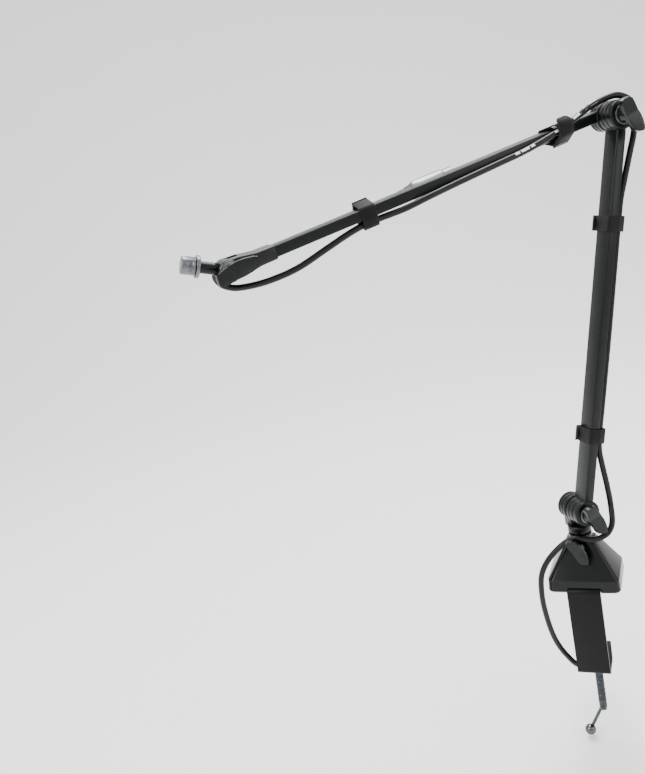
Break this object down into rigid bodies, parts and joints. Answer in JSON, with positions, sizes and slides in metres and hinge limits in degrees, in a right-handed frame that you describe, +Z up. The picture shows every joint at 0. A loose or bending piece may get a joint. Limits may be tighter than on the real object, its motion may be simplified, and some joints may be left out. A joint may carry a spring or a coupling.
{
  "type": "boom microphone stand",
  "caption": "Desk-clamp boom stand for a microphone: swivel base, two folding arms with paddle-knob pivots, tilting threaded head and a strapped-on lead.",
  "frame": {"origin": "centre of the underside of the rubber desk pad, where the base sits on the desk", "axes": "+Z up, +Y over the desk, -Y out past the desk edge toward the clamp strap, +X along the desk edge"},
  "size_m": [0.373, 0.3204, 0.6907],
  "materials": {
    "coated_steel": "satin black powder coat",
    "moulded_black": "satin moulded",
    "knuckle_black": "satin moulded, turned grooves",
    "bright_steel": "zinc plated",
    "polished_chrome": "polished",
    "connector_shell": "nickel satin",
    "connector_boot": "moulded boot",
    "insert_brass": "turned",
    "pad_rubber": "matte",
    "washer_nylon": "natural nylon",
    "strap_cloth": "woven hook-and-loop",
    "lead_sheath": "satin flexible sheath"
  },
  "bodies": {
    "base": {"clamp_frame": "coated_steel", "thread_insert": "insert_brass", "desk_pad": "pad_rubber", "base_cover": "moulded_black", "swivel_socket": "coated_steel", "swivel_bush": "washer_nylon", "socket_screw_1": "bright_steel", "socket_screw_2": "bright_steel", "lead_base": "lead_sheath", "male_boot": "connector_boot", "male_shell": "connector_shell", "lead_clip": "bright_steel"},
    "clamp_pad": {"clamp_pad_plate": "bright_steel", "clamp_pad_rubber": "pad_rubber"},
    "clamp_screw": {"clamp_screw": "bright_steel", "handle_pin": "bright_steel"},
    "clamp_handle": {"handle_rod": "polished_chrome", "handle_ball": "polished_chrome"},
    "swivel_lock": {"lock_screw": "bright_steel", "lock_knob": "moulded_black"},
    "swivel_post": {"swivel_post": "coated_steel", "swivel_spindle": "bright_steel", "spindle_ring": "bright_steel", "lower_bolt": "bright_steel", "lower_friction_washer": "washer_nylon"},
    "lower_arm": {"lower_arm_foot": "knuckle_black", "lower_arm_tube": "coated_steel", "lower_arm_top": "knuckle_black", "lower_strap_low": "strap_cloth", "lower_strap_high": "strap_cloth", "lead_arm": "lead_sheath", "lead_swivel": "lead_sheath"},
    "lower_knob": {"lower_washer": "bright_steel", "lower_knob": "moulded_black", "lower_nut": "insert_brass"},
    "boom": {"boom_knuckle": "knuckle_black", "boom_tube": "coated_steel", "boom_fork": "moulded_black", "elbow_bolt": "bright_steel", "elbow_friction_washer": "washer_nylon", "head_bolt": "bright_steel", "boom_strap_front": "strap_cloth", "boom_strap_rear": "strap_cloth", "lead_boom": "lead_sheath", "lead_elbow": "lead_sheath", "female_boot": "connector_boot", "female_shell": "connector_shell"},
    "elbow_knob": {"elbow_washer": "bright_steel", "elbow_knob": "moulded_black", "elbow_nut": "insert_brass"},
    "mic_head": {"head_tongue": "knuckle_black", "head_washer_far": "washer_nylon", "head_washer_near": "washer_nylon", "head_ring": "bright_steel", "head_stud": "bright_steel"},
    "head_knob": {"head_washer": "bright_steel", "head_knob": "moulded_black", "head_nut": "insert_brass"}
  },
  "joints": [
    {"name": "pad_slide", "type": "slide", "parent": "base", "child": "clamp_pad", "axis": [0, 0, 1], "range_m": [-0.001, 0.048]},
    {"name": "screw_turn", "type": "hinge", "parent": "clamp_pad", "child": "clamp_screw", "pos_m": [0, 0, -0.12], "axis": [0, 0, 1], "range_deg": [-320, 14400]},
    {"name": "handle_fold", "type": "hinge", "parent": "clamp_screw", "child": "clamp_handle", "pos_m": [0, 0, -0.157], "axis": [0, 1, 0], "range_deg": [-106, 54]},
    {"name": "swivel_lock_turn", "type": "hinge", "parent": "base", "child": "swivel_lock", "pos_m": [0, -0.024, 0.0505], "axis": [0, -1, 0], "range_deg": [-30, 360]},
    {"name": "post_swivel", "type": "hinge", "parent": "base", "child": "swivel_post", "pos_m": [0, 0, 0.065], "axis": [0, 0, 1], "range_deg": [-120, 120], "deforming": ["lead_base"]},
    {"name": "lower_tilt", "type": "hinge", "parent": "swivel_post", "child": "lower_arm", "pos_m": [0, 0, 0.087], "axis": [0.6494, -0.7604, 0], "range_deg": [-35, 70], "deforming": ["lead_swivel"]},
    {"name": "lower_knob_turn", "type": "hinge", "parent": "swivel_post", "child": "lower_knob", "pos_m": [0, 0, 0.087], "axis": [0.6494, -0.7604, 0], "range_deg": [-30, 360]},
    {"name": "elbow_bend", "type": "hinge", "parent": "lower_arm", "child": "boom", "pos_m": [0.06961, 0.05945, 0.47125], "axis": [0.6494, -0.7604, 0], "range_deg": [-95, 45], "deforming": ["lead_elbow"]},
    {"name": "elbow_knob_turn", "type": "hinge", "parent": "boom", "child": "elbow_knob", "pos_m": [0.06961, 0.05945, 0.47125], "axis": [0.6494, -0.7604, 0], "range_deg": [-30, 360]},
    {"name": "head_tilt", "type": "hinge", "parent": "boom", "child": "mic_head", "pos_m": [-0.23025, -0.19665, 0.41374], "axis": [0.6494, -0.7604, 0], "range_deg": [-55, 95]},
    {"name": "head_knob_turn", "type": "hinge", "parent": "boom", "child": "head_knob", "pos_m": [-0.23025, -0.19665, 0.41374], "axis": [0.6494, -0.7604, 0], "range_deg": [-30, 360]}
  ],
  "couplings": [
    {"joint": "screw_turn", "follows": "pad_slide", "rad_per_m": 5026.5}
  ]
}
